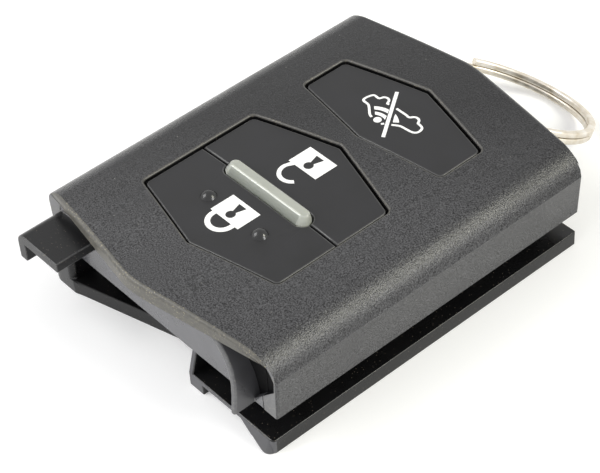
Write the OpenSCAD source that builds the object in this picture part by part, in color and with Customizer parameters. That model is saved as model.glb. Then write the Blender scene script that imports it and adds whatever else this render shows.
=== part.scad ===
// Transmitter half of a folding car key: a three-button remote with a split key ring.
// Millimetres, +Z up. The origin is the middle of the base plate's underside.
// -Y is the end with the two hooks, +Y the end with the key ring.

/* [Case] */
// Width of the case across the feet of its side walls
case_w = 37; // [34:0.5:42]
// Length of the case between its two end faces
case_l = 43; // [42:0.5:50]
// Height of the lid's crown above the table
case_h = 13.5; // [13:0.1:16]
// How far the lid's near edge runs out to a point past the end face
near_point = 3.3; // [2:0.1:5]
// How far the lid's edge at the ring end runs out to a point
far_point = 2.5; // [2.4:0.1:4]
// Rounding of both points
point_r = 12; // [4:1:14]
// Rounding of the long upper edges
edge_r = 4.4; // [3:0.1:5]
// Turn of that rounding from the lid down to the crease above the side wall
edge_turn = 70; // [60:1:80]
// How far the side walls lean out from their foot up to the crease
side_lean = 0.4; // [0:0.05:0.8]
// Radius of the lid's crown across the width
crown_r = 190; // [150:2:400]
// Thickness of the lid at its crown
lid_t = 1.7; // [1.4:0.1:2.1]
// Thickness of the upper case's side walls
wall_t = 2; // [1.4:0.1:2.6]
// Thickness of the upper case's wall at the ring end
far_wall_t = 3; // [2.7:0.1:4]
// Ledge inside the side walls that clamps the keypad's rim
rim_w = 1; // [0.6:0.1:1.6]
// Clearance between the upper case and the tub inside it
case_gap = 0.1; // [0.05:0.05:0.2]

/* [Base] */
// Thickness of the base plate
base_t = 1.9; // [1.4:0.1:2.6]
// Height of the slide slot between base plate and case
slot_h = 2.7; // [2:0.1:3.5]
// Depth of the slide slot
slot_d = 3; // [2:0.1:4]
// How far the base plate's right prong reaches past the near end face
base_near = 0.8; // [0.3:0.1:1.5]
// How far the base plate's left prong reaches past the near end face
prong_near = 1.4; // [0.8:0.1:2]
// How far the base plate stops short of the far end face
base_far = 0.3; // [0:0.1:1]
// Rounding of the base plate's near left corner
base_r = 1.6; // [1:0.1:2]
// Rounding of the base plate's near right corner
base_corner_r = 0.4; // [0.2:0.1:1]
// Depth of the pocket behind the near end wall
pocket_d = 5; // [3:0.1:7]
// Width of the left corner post that closes the pocket
corner_post_w = 4.2; // [3.5:0.1:6]
// Depth of the left corner post
corner_post_d = 3; // [2.5:0.1:4]
// Place of the small post that stops the notch in the base plate
post_x = 5; // [3:0.1:8]
// Thickness of the small post
post_t = 0.7; // [0.6:0.1:1.5]
// Depth of the notch in the base plate, at the small post
notch_d = 5.5; // [3:0.1:6]
// Width of the foot left standing beside the pry arch
foot_w = 2.2; // [1.2:0.1:3]
// Width of the pry arch under the base plate
arch_w = 7.6; // [6:0.1:8]
// Length of the pry arch's flat top
arch_flat = 6.1; // [2:0.1:7]
// Thickness left above the pry arch
arch_t = 0.6; // [0.5:0.1:1]
// Depth of the pry arch from the base plate's near edge
arch_d = 3; // [1.5:0.1:4]
// Radius of the toe under the right corner
toe_r = 0.9; // [0.6:0.1:1.6]
// Distance from the toe's foot to the case's side
toe_side = 0.1; // [0:0.1:1]
// How far the toe bulges past the base plate's near edge
toe_out = 0.6; // [0.2:0.1:1]
// Width of the toe's root along the near edge
toe_w = 5; // [4:0.1:6]

/* [Tub] */
// Thickness of the near end wall
near_wall_t = 1.4; // [1:0.1:1.8]
// Thickness of the tub's walls
tub_t = 1.2; // [0.8:0.1:1.6]
// Thickness of the neck's walls below the tub
neck_t = 1.6; // [1:0.1:2]
// Thickness of the tub's floor, which carries the circuit board
floor_t = 1.4; // [1:0.1:2]

/* [Hooks] */
// Width of the left hook
hook_w = 6.5; // [4:0.1:8]
// How far the left hook reaches out
hook_l = 5.5; // [3:0.1:7]
// Thickness of the left hook
hook_t = 1.2; // [0.8:0.1:1.6]
// Height of the left hook's outer leg
hook_h = 3.6; // [2:0.1:5]
// Rounding of the left hook's outer edge
hook_r = 0.6; // [0.2:0.1:0.8]
// Place of the left hook's outer side, in from the case's side
hook_side = 2.1; // [1.6:0.1:4]
// Drop of the left hook below the lid's underside
hook_drop = 1.7; // [0.5:0.1:3]
// How far the right flap reaches out at its foot
flap_l = 2.7; // [1:0.1:4]
// Lean of the flap's front edge back towards the lid
flap_lean = 14; // [0:1:20]
// Thickness of the flap
flap_t = 0.6; // [0.5:0.1:1]
// Rounding of the flap's upper corner
flap_r = 6; // [1:0.1:6.5]
// Place of the flap's foot, in from the case's side
flap_side_in = 3.4; // [3:0.1:5]
// How far the flap's side is drawn in from foot to head
flap_draw = 1.1; // [0:0.1:2]
// Place of the flap's inner end under the lid, in from the case's side
flap_head_in = 11; // [10:0.1:12]
// Depth of the dip in the end face beside the flap
dip_d = 0.8; // [0.4:0.1:0.9]
// Wall left standing between the dip and the case's outside
dip_side = 0.45; // [0.4:0.05:1.4]
// Rise of the dip's lower edge from the flap's foot to the case's side
dip_h = 4.4; // [2:0.1:5]

/* [Buttons] */
// Half-width of the lock and unlock opening
pair_half_w = 11; // [9:0.1:12]
// Places of its near point, near corners, far corners and far point
pair_y = [-17, -14.3, 1.05, 4.2];
// Line that parts the lock button from the unlock button
split_y = -6.15; // [-7:0.05:-5]
// Half-width of the alarm opening
alarm_half_w = 10.95; // [9:0.1:12]
// Places of its near point, near corners, far corners and far point
alarm_y = [6.45, 8.3, 14.5, 17.15];
// Rounding of the openings' corners
button_r = 0.7; // [0.3:0.1:1.2]
// Gap round a button and between the lock and unlock buttons
button_gap = 0.22; // [0.15:0.01:0.35]
// Depth of a button's face below the lid
button_recess = 0.3; // [0:0.05:0.5]
// Travel of a button
button_travel = 0.5; // [0.3:0.05:0.6]
// Thickness of the flange that keeps a button in
flange_t = 0.8; // [0.5:0.1:1.2]
// Width of that flange past the button's side
flange_w = 0.7; // [0.5:0.1:0.8]
// Rest clearance between that flange and the lid
flange_gap = 0.1; // [0.05:0.05:0.2]
// Clearance left under that flange when the button is down
flange_spare = 0.8; // [0.7:0.05:1]
// Diameter of a button's stem
stem_d = 3; // [2.4:0.1:3.6]
// Places of the lock, unlock and alarm stems
stem_y = [-11, -1.3, 11.5];
// Distance of each touch dot from the middle of the lock button
dot_x = 4.15; // [3:0.05:6]
// Place of the touch dots along the lock button
dot_y = -10.8; // [-12:0.1:-9]
// Diameter of a touch dot
dot_d = 1.85; // [1.2:0.05:2.4]
// Height of a touch dot
dot_h = 0.4; // [0.2:0.05:0.6]

/* [Light bar] */
// Length of the light bar
bar_l = 12.9; // [8:0.1:15]
// Width of the light bar
bar_w = 1.95; // [1.2:0.05:2.4]
// Height of the light bar above the buttons
bar_h = 0.65; // [0.4:0.05:1.2]
// Gap between the light bar and the buttons
bar_gap = 0.15; // [0.1:0.05:0.3]
// Margin of the light bar's foot round the bar
bar_foot = 0.8; // [0.4:0.1:1]
// Thickness of the light bar's foot
bar_foot_t = 0.6; // [0.4:0.1:0.8]
// Length of the light guide down to the lamp
guide_l = 3; // [2:0.1:4]
// Width of the light guide
guide_w = 1.3; // [1:0.1:1.6]

/* [Keypad and board] */
// Thickness of the keypad's silicone sheet
mat_t = 0.8; // [0.5:0.1:1.2]
// Clear height between the circuit board and the keypad
mat_clear = 2; // [1.7:0.1:2.4]
// Clearance round what passes through the keypad
mat_hole_gap = 0.4; // [0.2:0.1:0.6]
// Thickness of the circuit board
board_t = 0.8; // [0.6:0.1:1.2]
// Clearance round the circuit board
board_gap = 0.3; // [0.1:0.1:0.6]
// Side of a push switch
switch_w = 4.8; // [4:0.1:5.4]
// Height of a push switch
switch_h = 1.2; // [0.9:0.1:1.5]
// Diameter of a switch plunger
plunger_d = 2; // [1.4:0.1:2.2]
// Clearance left above the switch and under the plunger when a button is down
plunger_spare = 0.15; // [0.1:0.05:0.2]
// Clearance round a plunger
plunger_gap = 0.2; // [0.1:0.05:0.3]
// Clearance between the light guide and the lamp
guide_gap = 0.2; // [0.1:0.05:0.4]
// Distance of the chips' middles from the tub's side walls
chip_side = 6.7; // [6:0.1:8]
// Place of the controller and the radio chip along the case
chip_y = -1.3; // [-3:0.1:1]
// Distance of the crystal's middle from the first inductor
crystal_in = 4.5; // [4.2:0.1:6]
// Place of the resonator along the case
resonator_y = 9.5; // [8:0.1:11]
// Distance of the first inductor from the tub's far wall
inductor_in = 4.2; // [3.5:0.1:4.5]
// Step between the inductors
inductor_step = 2; // [1.6:0.1:2.4]
// Distance of the capacitors from the middle line
capacitor_x = 5; // [4:0.1:5.5]
// Place of the first small components along the case
small_y = -14; // [-16:0.1:-12]
// Step between small components in a row
small_step = 1.6; // [1.2:0.1:2]
// Length, width and height of the lamp
led_size = [1.6, 1, 0.7];
// Length, width and height of the controller
controller_size = [4.4, 6.5, 1.2];
// Length, width and height of the radio chip
radio_size = [4.4, 5, 1.1];
// Length, width and height of the crystal
crystal_size = [3.2, 5, 1.1];
// Length, width and height of the surface-wave resonator
resonator_size = [3.8, 3.8, 1];
// Length, width and height of a chip capacitor
capacitor_size = [1.6, 0.8, 0.8];
// Length, width and height of a chip resistor
resistor_size = [1.6, 0.8, 0.45];
// Length, width and height of a chip inductor
inductor_size = [2, 1.25, 1.2];

/* [Battery] */
// Diameter of the coin cell
cell_d = 16; // [12:0.5:20]
// Thickness of the coin cell
cell_t = 2; // [1.6:0.1:3.2]
// Diameter of the cell's negative cap
cap_d = 12.6; // [8:0.1:15]
// Height of the cell's negative cap
cap_t = 0.3; // [0.1:0.05:0.4]
// Place of the coin cell along the case
cell_y = 2; // [-2:0.5:4]
// Clearance round the coin cell
cell_gap = 0.2; // [0.1:0.05:0.4]
// Thickness of the rib that holds the coin cell
holder_t = 1; // [0.8:0.1:1.6]
// Height of that rib
holder_h = 1.5; // [1:0.1:2.5]
// Thickness of the contact springs
contact_t = 0.25; // [0.15:0.05:0.4]
// Width of the contact springs
contact_w = 3; // [2:0.1:5]
// Clearance between the side contact and the cell's can
contact_gap = 0.05; // [0.02:0.01:0.1]
// Length of a contact's soldered tab
contact_tab = 2.4; // [1.5:0.1:4]

/* [Key ring] */
// Mean radius of the ring
ring_r = 9.7; // [8:0.1:13]
// Width of its flat wire
wire_w = 0.9; // [0.8:0.05:1.2]
// Thickness of its flat wire
wire_t = 0.55; // [0.5:0.05:0.8]
// Gap between its two turns
turn_gap = 0.42; // [0.41:0.01:0.6]
// Arc over which the wire steps from one turn to the next
step_arc = 40; // [30:2:60]
// Place of the wire's two ends round the ring
ends_a = 180; // [0:5:355]
// Sideways place of the ring
ring_x = 0.9; // [-3:0.1:3]
// Height of the ring's lowest wire above the table
ring_clear = 0.1; // [0.1:0.05:0.5]
// Diameter of the pin that carries the ring
pin_d = 1.6; // [1.2:0.1:2]
// Distance of the pin's middle from the far point of the lid
pin_in = 1.3; // [1.2:0.05:1.8]
// Clearance between the ring and its pin, lid and recess
ring_gap = 0.3; // [0.2:0.05:0.4]
// Depth of the pin's seats in lid and lug
pin_seat = 0.8; // [0.5:0.1:1]
// Clearance round the pin in its seats
pin_gap = 0.05; // [0.02:0.01:0.1]
// Half-width of the recess that the ring swings in
recess_half_w = 8.6; // [8:0.1:11]
// Height of the lug under the pin
lug_h = 1.8; // [1.2:0.1:2.4]

/* [Hidden] */
$fn = 48;
cut = 1;

crown_fn = 720;
small_count = 4;
inductor_count = 2;
near_y = -case_l / 2;
far_y = case_l / 2;
shell_z = base_t + slot_h;
lid_z = case_h - lid_t;
lid_w = case_w + 2 * side_lean;
inner_w = case_w - 2 * wall_t;
far_in_y = far_y - far_wall_t;

tub_w = inner_w - 2 * case_gap;
tub_in_w = tub_w - 2 * tub_t;
tub_far_y = far_in_y - case_gap;
room_near_y = near_y + near_wall_t;
room_far_y = tub_far_y - tub_t;
neck_w = case_w - 2 * slot_d;
neck_near_y = near_y + pocket_d;
neck_far_y = far_y - slot_d;

flange_top = lid_z - flange_gap;
flange_z = flange_top - flange_t;
mat_top = flange_z - button_travel - flange_spare;
mat_z = mat_top - mat_t;
board_top = mat_z - mat_clear;
board_z = board_top - board_t;
tub_z = board_z - floor_t;
switch_top = board_top + switch_h;
plunger_h = button_travel + plunger_spare;
plunger_in = switch_h - button_travel - plunger_spare;
plunger_top = switch_top + plunger_h;
chip_x = tub_in_w / 2 - chip_side;
inductor_y = room_far_y - inductor_in;
crystal_y = inductor_y - crystal_in;
cell_z = base_t;
cell_top = cell_z + cell_t + cap_t;

ring_pitch = wire_t + turn_gap;
ring_half = ring_pitch / 2 + wire_t / 2;
ring_reach = norm([ring_half, wire_w / 2]);
ring_z = lid_z - ring_gap - ring_reach;
ring_tilt = asin((ring_z - ring_half - ring_clear) / (2 * ring_r));
pin_y = far_y + far_point - pin_in;
ring_near_y = pin_y - pin_d / 2 - ring_gap - ring_reach;
recess_y = ring_near_y - ring_reach - ring_gap;
lug_top = shell_z + lug_h;
lug_r = pin_in;

case_color = "#3a3a3c";
gloss_color = "#1d1d1f";
button_color = "#454547";
silver_color = "#c9c6bd";

// Height of the lid's surface at a distance from the middle line
function crown_at(x) = case_h - crown_r + sqrt(crown_r * crown_r - x * x);

function unit(v) = v / norm(v);

// Points of the arc that rounds the corner b of the corners a, b, c
function corner_arc(a, b, c, r, steps) =
    let (
        u = unit(a - b),
        v = unit(c - b),
        half = acos(u * v) / 2,
        middle = b + unit(u + v) * r / sin(half),
        start = b + u * r / tan(half) - middle,
        turn = (u.x * v.y - u.y * v.x > 0 ? -1 : 1) * (180 - 2 * half)
    )
    [for (i = [0 : steps])
        let (t = turn * i / steps)
        middle + [start.x * cos(t) - start.y * sin(t), start.x * sin(t) + start.y * cos(t)]];

// An outline with corners rounded, one radius for each corner, 0 for a sharp one
function rounded(points, radii, steps = 6) =
    let (n = len(points))
    [for (i = [0 : n - 1])
        each radii[i] == 0
            ? [points[i]]
            : corner_arc(points[(i + n - 1) % n], points[i], points[(i + 1) % n], radii[i], steps)];

// A straight-sided opening with pointed ends, grown by a margin all round
function pointed(half_w, y, grow) =
    let (
        near_m = (y[1] - y[0]) / half_w,
        far_m = (y[3] - y[2]) / half_w,
        near_shift = grow * sqrt(1 + near_m * near_m),
        far_shift = grow * sqrt(1 + far_m * far_m),
        w = half_w + grow
    )
    [
        [0, y[0] - near_shift],
        [w, y[0] - near_shift + near_m * w],
        [w, y[3] + far_shift - far_m * w],
        [0, y[3] + far_shift],
        [-w, y[3] + far_shift - far_m * w],
        [-w, y[0] - near_shift + near_m * w]
    ];

module pointed_plan(half_w, y, grow) {
    polygon(rounded(pointed(half_w, y, grow), [for (i = [0 : 5]) button_r]));
}

module pair_plan(grow) {
    pointed_plan(pair_half_w, pair_y, grow);
}

module alarm_plan(grow) {
    pointed_plan(alarm_half_w, alarm_y, grow);
}

// One of the two halves of the pair opening, on one side of the split line
module half_plan(grow, side) {
    span = pair_y[3] - pair_y[0];
    intersection() {
        pair_plan(grow);
        translate([-case_w / 2, split_y + (side > 0 ? button_gap / 2 : -span - button_gap / 2)])
            square([case_w, span]);
    }
}

module slab(x0, y0, z0, x1, y1, z1) {
    translate([x0, y0, z0]) cube([x1 - x0, y1 - y0, z1 - z0]);
}

// A box that is symmetric about the middle line
module middle_slab(w, y0, z0, y1, z1) {
    slab(-w / 2, y0, z0, w / 2, y1, z1);
}

module along_y(y0, y1) {
    translate([0, y1, 0]) rotate([90, 0, 0]) linear_extrude(y1 - y0) children();
}

// Everything below the lid's crown, or below a face sunk under it
module under_crown(sink) {
    translate([0, 0, case_h - crown_r])
        rotate([90, 0, 0])
            cylinder(h = 2 * case_l, r = crown_r - sink, center = true, $fn = crown_fn);
}

// Cross-section of the upper case, drawn in by an inset: leaning walls up to a crease, rounded above it
module case_section(inset) {
    turn_x = lid_w / 2 - edge_r * sin(edge_turn);
    turn_z = crown_at(turn_x) - edge_r;
    r = edge_r - inset;
    crease_x = turn_x + r * sin(edge_turn);
    crease_z = turn_z + r * cos(edge_turn);
    foot_x = case_w / 2 - inset;
    polygon([
        [-foot_x, 0],
        [foot_x, 0],
        [foot_x, shell_z],
        [crease_x, crease_z],
        [-crease_x, crease_z],
        [-foot_x, shell_z]
    ]);
    intersection() {
        union() {
            translate([-turn_x, 0]) square([2 * turn_x, case_h - inset]);
            for (s = [-1, 1]) translate([s * turn_x, turn_z]) circle(r = r);
        }
        translate([-crease_x, crease_z]) square([2 * crease_x, case_h]);
    }
}

// Lid outline: straight sides and two blunt points
module lid_plan() {
    half_w = lid_w / 2;
    near_a = atan(near_point / half_w);
    far_a = atan(far_point / half_w);
    near_x = point_r * sin(near_a);
    far_x = point_r * sin(far_a);
    near_tip = near_y - near_point;
    far_tip = far_y + far_point;
    polygon([
        [-half_w, near_y],
        [-near_x, near_tip + near_x * tan(near_a)],
        [near_x, near_tip + near_x * tan(near_a)],
        [half_w, near_y],
        [half_w, far_y],
        [far_x, far_tip - far_x * tan(far_a)],
        [-far_x, far_tip - far_x * tan(far_a)],
        [-half_w, far_y]
    ]);
    translate([0, near_tip + point_r / cos(near_a)]) circle(r = point_r);
    translate([0, far_tip - point_r / cos(far_a)]) circle(r = point_r);
}

// Lug under the ring's pin, at the far end face
module ring_lug() {
    slab(ring_x - lug_r, far_y - cut, shell_z, ring_x + lug_r, pin_y, lug_top);
    translate([ring_x, pin_y, shell_z]) cylinder(h = lug_h, r = lug_r);
}

module upper_case() {
    color(case_color)
    difference() {
        union() {
            intersection() {
                under_crown(0);
                along_y(near_y - case_l, far_y + case_l) case_section(0);
                union() {
                    translate([0, 0, lid_z]) linear_extrude(case_h) lid_plan();
                    middle_slab(lid_w, near_y, shell_z, far_y, lid_z + cut);
                }
            }
            ring_lug();
        }
        middle_slab(inner_w, near_y - cut, shell_z - cut, far_in_y, mat_top);
        middle_slab(inner_w - 2 * rim_w, near_y - cut, shell_z, far_in_y, lid_z);
        middle_slab(inner_w, near_y - cut, shell_z, room_near_y + case_gap, lid_z);
        translate([0, 0, lid_z - cut]) linear_extrude(2 * lid_t + cut) pair_plan(0);
        translate([0, 0, lid_z - cut]) linear_extrude(2 * lid_t + cut) alarm_plan(0);
        end_dip();
        slab(ring_x - recess_half_w, recess_y, lug_top, ring_x + recess_half_w, far_y + cut, lid_z);
        translate([ring_x, pin_y, lug_top - pin_seat])
            cylinder(h = lid_z - lug_top + 2 * pin_seat, d = pin_d + 2 * pin_gap);
    }
}

// Base plate with rounded near corners and a slanting notch in its near edge
module base_plate() {
    half_w = case_w / 2;
    edge_y = near_y - base_near;
    prong_y = near_y - prong_near;
    tip_x = -half_w + corner_post_w;
    linear_extrude(base_t)
        polygon(rounded([
            [-half_w, far_y - base_far],
            [-half_w, prong_y],
            [tip_x, prong_y],
            [post_x, prong_y + notch_d],
            [post_x, edge_y],
            [half_w, edge_y],
            [half_w, far_y - base_far]
        ], [0, base_r, base_r / 2, 0, 0, base_corner_r, 0]));
}

// Post that closes the pocket at the left corner
module corner_post() {
    half_w = case_w / 2;
    prong_y = near_y - prong_near;
    linear_extrude(shell_z)
        polygon(rounded([
            [-half_w, prong_y],
            [-half_w + corner_post_w, prong_y],
            [-half_w + corner_post_w, prong_y + corner_post_d],
            [-half_w, prong_y + corner_post_d]
        ], [base_r, base_r / 2, 0, 0]));
}

// Small post that stops the notch; its front leans back to the near end wall
module small_post() {
    edge_y = near_y - base_near;
    translate([post_x, 0, 0])
        rotate([90, 0, 90])
            linear_extrude(post_t)
                polygon([
                    [edge_y, 0],
                    [edge_y, base_t],
                    [near_y, shell_z],
                    [neck_near_y, shell_z],
                    [neck_near_y, 0]
                ]);
}

// Relief under the near edge, for prying the case open
module pry_arch() {
    arch_x = post_x + foot_w;
    rise = base_t - arch_t;
    along_y(near_y - base_near - cut, near_y - base_near + arch_d)
        polygon([
            [arch_x, -cut],
            [arch_x, rise],
            [arch_x + arch_flat, rise],
            [arch_x + arch_w, 0],
            [arch_x + arch_w, -cut]
        ]);
}

// Left hook: a plate with a leg along its outer side
module left_hook() {
    x0 = -case_w / 2 + hook_side;
    top = lid_z - hook_drop;
    along_y(near_y - hook_l, near_y)
        polygon(rounded([
            [x0, top],
            [x0, top - hook_h],
            [x0 + hook_t, top - hook_h],
            [x0 + hook_t, top - hook_t],
            [x0 + hook_w, top - hook_t],
            [x0 + hook_w, top]
        ], [hook_r, 0, 0, 0, 0, 0]));
}

// Toe under the right corner: the near face swells out towards the table
module corner_toe() {
    edge_y = near_y - base_near;
    root_x = case_w / 2 - base_corner_r;
    skin = base_t / 8;
    hull() {
        slab(root_x - toe_w, edge_y, base_t - skin, root_x, edge_y + toe_r, base_t);
        translate([case_w / 2 - toe_side - toe_r, edge_y - toe_out + toe_r, 0]) cylinder(h = skin, r = toe_r);
    }
}

// Outline of the flap, drawn in by a wall
module flap_outline(wall) {
    inner_x = case_w / 2 - flap_head_in;
    foot_x = case_w / 2 - flap_side_in - wall;
    head = lid_z - case_gap - wall;
    polygon(rounded([
        [inner_x - wall, shell_z - wall],
        [foot_x, shell_z - wall],
        [foot_x - flap_draw, head],
        [inner_x - wall, head]
    ], [0, 0, flap_r - wall, 0]));
}

// Right flap: a curved skin that stands out of the end face, with a leaning front edge
module right_flap() {
    reach = flap_l + near_wall_t;
    intersection() {
        along_y(near_y - flap_l - cut, near_y + (dip_d + near_wall_t) / 2)
            difference() {
                flap_outline(0);
                flap_outline(flap_t);
            }
        translate([0, near_y - flap_l, shell_z])
            rotate([-flap_lean, 0, 0])
                slab(0, 0, -reach, case_w / 2, 2 * reach, case_h);
    }
}

// Dip in the end face beside the flap
module end_dip() {
    side_x = lid_w / 2;
    foot_x = case_w / 2 - flap_side_in;
    along_y(near_y - cut, near_y + dip_d)
        difference() {
            intersection() {
                case_section(dip_side);
                polygon([
                    [foot_x - flap_t, shell_z],
                    [side_x, shell_z + dip_h],
                    [side_x, lid_z],
                    [foot_x - flap_draw - flap_r, lid_z]
                ]);
            }
            flap_outline(flap_t / 2);
        }
}

// Rib round the coin cell, open where the side contact reaches it
module cell_holder() {
    inner = cell_d / 2 + cell_gap;
    translate([0, cell_y, base_t])
        difference() {
            cylinder(h = holder_h, r = inner + holder_t);
            translate([0, 0, -cut]) cylinder(h = holder_h + 2 * cut, r = inner);
            translate([0, -contact_w, -cut])
                cube([inner + holder_t + cut, 2 * contact_w, holder_h + 2 * cut]);
        }
}

module lower_case() {
    neck_room_w = neck_w - 2 * neck_t;
    color(gloss_color) {
        difference() {
            union() {
                base_plate();
                corner_post();
                small_post();
                middle_slab(neck_w, neck_near_y, 0, neck_far_y, board_z);
                middle_slab(tub_w, near_y, tub_z, tub_far_y, mat_z);
                middle_slab(tub_w, near_y, shell_z, room_near_y, lid_z - case_gap);
                left_hook();
            }
            middle_slab(neck_room_w, neck_near_y + neck_t, base_t, neck_far_y - neck_t, mat_z);
            middle_slab(tub_in_w, room_near_y, board_z, room_far_y, mat_z + cut);
            pry_arch();
            end_dip();
        }
        right_flap();
        corner_toe();
        cell_holder();
    }
}

// Outline of the light bar, grown by a margin
module bar_plan(grow) {
    r = bar_w / 2 + grow;
    reach = bar_l / 2 - bar_w / 2;
    translate([-reach, split_y - r]) square([2 * reach, 2 * r]);
    for (s = [-1, 1]) translate([s * reach, split_y]) circle(r = r);
}

// Button: a crowned face, a flange that keeps it in and a stem; its two outlines are the children
module button(y) {
    difference() {
        union() {
            intersection() {
                under_crown(button_recess);
                translate([0, 0, flange_z]) linear_extrude(case_h) children(0);
            }
            translate([0, 0, flange_z]) linear_extrude(flange_t) children(1);
            translate([0, y, plunger_top]) cylinder(h = flange_z - plunger_top + flange_t / 2, d = stem_d);
        }
        translate([0, 0, flange_z - cut]) linear_extrude(case_h) bar_plan(bar_gap);
        translate([0, 0, mat_top - cut])
            linear_extrude(flange_top - mat_top + cut) bar_plan(bar_foot + bar_gap);
    }
}

module touch_dot(x) {
    r = (dot_d * dot_d / 4 + dot_h * dot_h) / (2 * dot_h);
    face = crown_at(x) - button_recess;
    intersection() {
        translate([x, dot_y, face + dot_h - r]) sphere(r = r);
        translate([x, dot_y, face - lid_t / 2]) cylinder(h = lid_t, r = dot_d);
    }
}

module lock_button() {
    color(button_color) {
        button(stem_y[0]) {
            half_plan(-button_gap, -1);
            half_plan(flange_w - button_gap, -1);
        }
        for (s = [-1, 1]) touch_dot(s * dot_x);
    }
}

module unlock_button() {
    color(button_color)
    button(stem_y[1]) {
        half_plan(-button_gap, 1);
        half_plan(flange_w - button_gap, 1);
    }
}

module alarm_button() {
    color(button_color)
    button(stem_y[2]) {
        alarm_plan(-button_gap);
        alarm_plan(flange_w - button_gap);
    }
}

// Light bar: a bar between the buttons, a foot on the keypad and a guide down to the lamp
module light_bar() {
    guide_z = board_top + led_size.z + guide_gap;
    color("#8f9488") {
        translate([0, 0, mat_top]) linear_extrude(case_h - button_recess + bar_h - mat_top) bar_plan(0);
        translate([0, 0, mat_top]) linear_extrude(bar_foot_t) bar_plan(bar_foot);
        middle_slab(guide_l, split_y - guide_w / 2, guide_z, split_y + guide_w / 2, mat_top + bar_foot_t);
    }
}

// Silicone sheet on the tub's rim, with holes for the stems and the light guide
module keypad_mat() {
    hole_x = guide_l / 2 + mat_hole_gap;
    hole_y = guide_w / 2 + mat_hole_gap;
    color("#6d6f73")
    difference() {
        middle_slab(tub_w, room_near_y + case_gap, mat_z, tub_far_y, mat_top);
        for (y = stem_y)
            translate([0, y, mat_z - cut]) cylinder(h = mat_t + 2 * cut, d = stem_d + 2 * mat_hole_gap);
        slab(-hole_x, split_y - hole_y, mat_z - cut, hole_x, split_y + hole_y, mat_top + cut);
    }
}

module circuit_board() {
    board_w = tub_in_w - 2 * board_gap;
    color("#1f5a3a")
    middle_slab(board_w, room_near_y + board_gap, board_z, room_far_y - board_gap, board_top);
}

module push_switch(y) {
    color("#b9babb")
    difference() {
        middle_slab(switch_w, y - switch_w / 2, board_top, y + switch_w / 2, switch_top);
        translate([0, y, board_top - cut]) cylinder(h = switch_h + 2 * cut, d = plunger_d + 2 * plunger_gap);
    }
}

module plunger(y) {
    color("#d8d2c0")
    translate([0, y, switch_top - plunger_in]) cylinder(h = plunger_in + plunger_h, d = plunger_d);
}

// A box-shaped component on the board, at the middle of its footprint
module component(x, y, size) {
    translate([x - size.x / 2, y - size.y / 2, board_top]) cube(size);
}

// A row of equal components beside each other along Y
module component_row(x, y, size, count, step) {
    for (i = [0 : count - 1]) component(x, y + i * step, size);
}

module status_led() {
    color("#f2e9b8") component(0, split_y, led_size);
}

module controller_chip() {
    color("#26262a") component(chip_x, chip_y, controller_size);
}

module radio_chip() {
    color("#2a2a2e") component(-chip_x, chip_y, radio_size);
}

module crystal() {
    color("#c4c5c6") component(-chip_x, crystal_y, crystal_size);
}

module resonator() {
    color("#d6c48a") component(chip_x, resonator_y, resonator_size);
}

module capacitors() {
    color("#b08a5a")
    for (s = [-1, 1]) component_row(s * capacitor_x, small_y, capacitor_size, small_count, small_step);
}

module resistors() {
    color("#303034")
    for (s = [-1, 1]) component_row(s * chip_x, small_y, resistor_size, small_count, small_step);
}

module inductors() {
    color("#d9d9d4") component_row(-chip_x, inductor_y, inductor_size, inductor_count, inductor_step);
}

// Coin cell, its wide can face down and its negative cap up
module coin_cell() {
    color(silver_color)
    translate([0, cell_y, cell_z]) {
        cylinder(h = cell_t, d = cell_d);
        cylinder(h = cell_t + cap_t, d = cap_d);
    }
}

// Contact that comes down from the board to the side of the cell's can
module positive_contact() {
    x = cell_d / 2 + contact_gap;
    y0 = cell_y - contact_w / 2;
    y1 = cell_y + contact_w / 2;
    color("#cfcfd2") {
        slab(x, y0, cell_z + cell_t / 4, x + contact_t, y1, board_z);
        slab(x, y0, board_z - contact_t, x + contact_tab, y1, board_z);
    }
}

// Contact that comes down from the board, bends and rests on the cell's cap
module negative_contact() {
    y0 = cell_y - contact_w / 2;
    y1 = cell_y + contact_w / 2;
    color("#cfcfd2") {
        slab(-contact_tab, y0, board_z - contact_t, 0, y1, board_z);
        slab(-contact_t, y0, cell_top, 0, y1, board_z);
        slab(-contact_t, y0, cell_top, contact_tab, y1, cell_top + contact_t);
    }
}

// Upright pin that the ring passes behind
module ring_pin() {
    color("#b8b8ba")
    translate([ring_x, pin_y, lug_top - pin_seat + pin_gap])
        cylinder(h = lid_z - lug_top + 2 * pin_seat - 2 * pin_gap, d = pin_d);
}

// Split ring: one wire of two flat turns, stepped over from one to the other where its ends lie
rings_per_turn = 24;
wire_sides = 6;
wire_stations = floor((720 - step_arc) / 360 * rings_per_turn);

function wire_angle(i) = step_arc / 2 + (720 - step_arc) * i / wire_stations;
function wire_lift(a) = ring_pitch * max(-0.5, min(0.5, (a - 360) / step_arc));
function wire_point(i) =
    let (a = wire_angle(i))
    [ring_r * cos(a + ends_a), ring_r * sin(a + ends_a), wire_lift(a)];
function wire_side(t) = sin(t) / sin(60);
function wire_section(i) =
    let (a = wire_angle(i) + ends_a)
    [for (k = [0 : wire_sides - 1])
        let (t = 360 * k / wire_sides, out = wire_w / 2 * cos(t))
        wire_point(i) + [out * cos(a), out * sin(a), wire_t / 2 * wire_side(t)]];

// Least gap between the ring's two turns, measured between stations half a turn or more apart
least_turn_gap = min([
    for (i = [0 : wire_stations], j = [0 : wire_stations])
        if (j - i > rings_per_turn / 2) norm(wire_point(i) - wire_point(j)) - wire_t
]);
echo(least_turn_gap = least_turn_gap);

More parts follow.
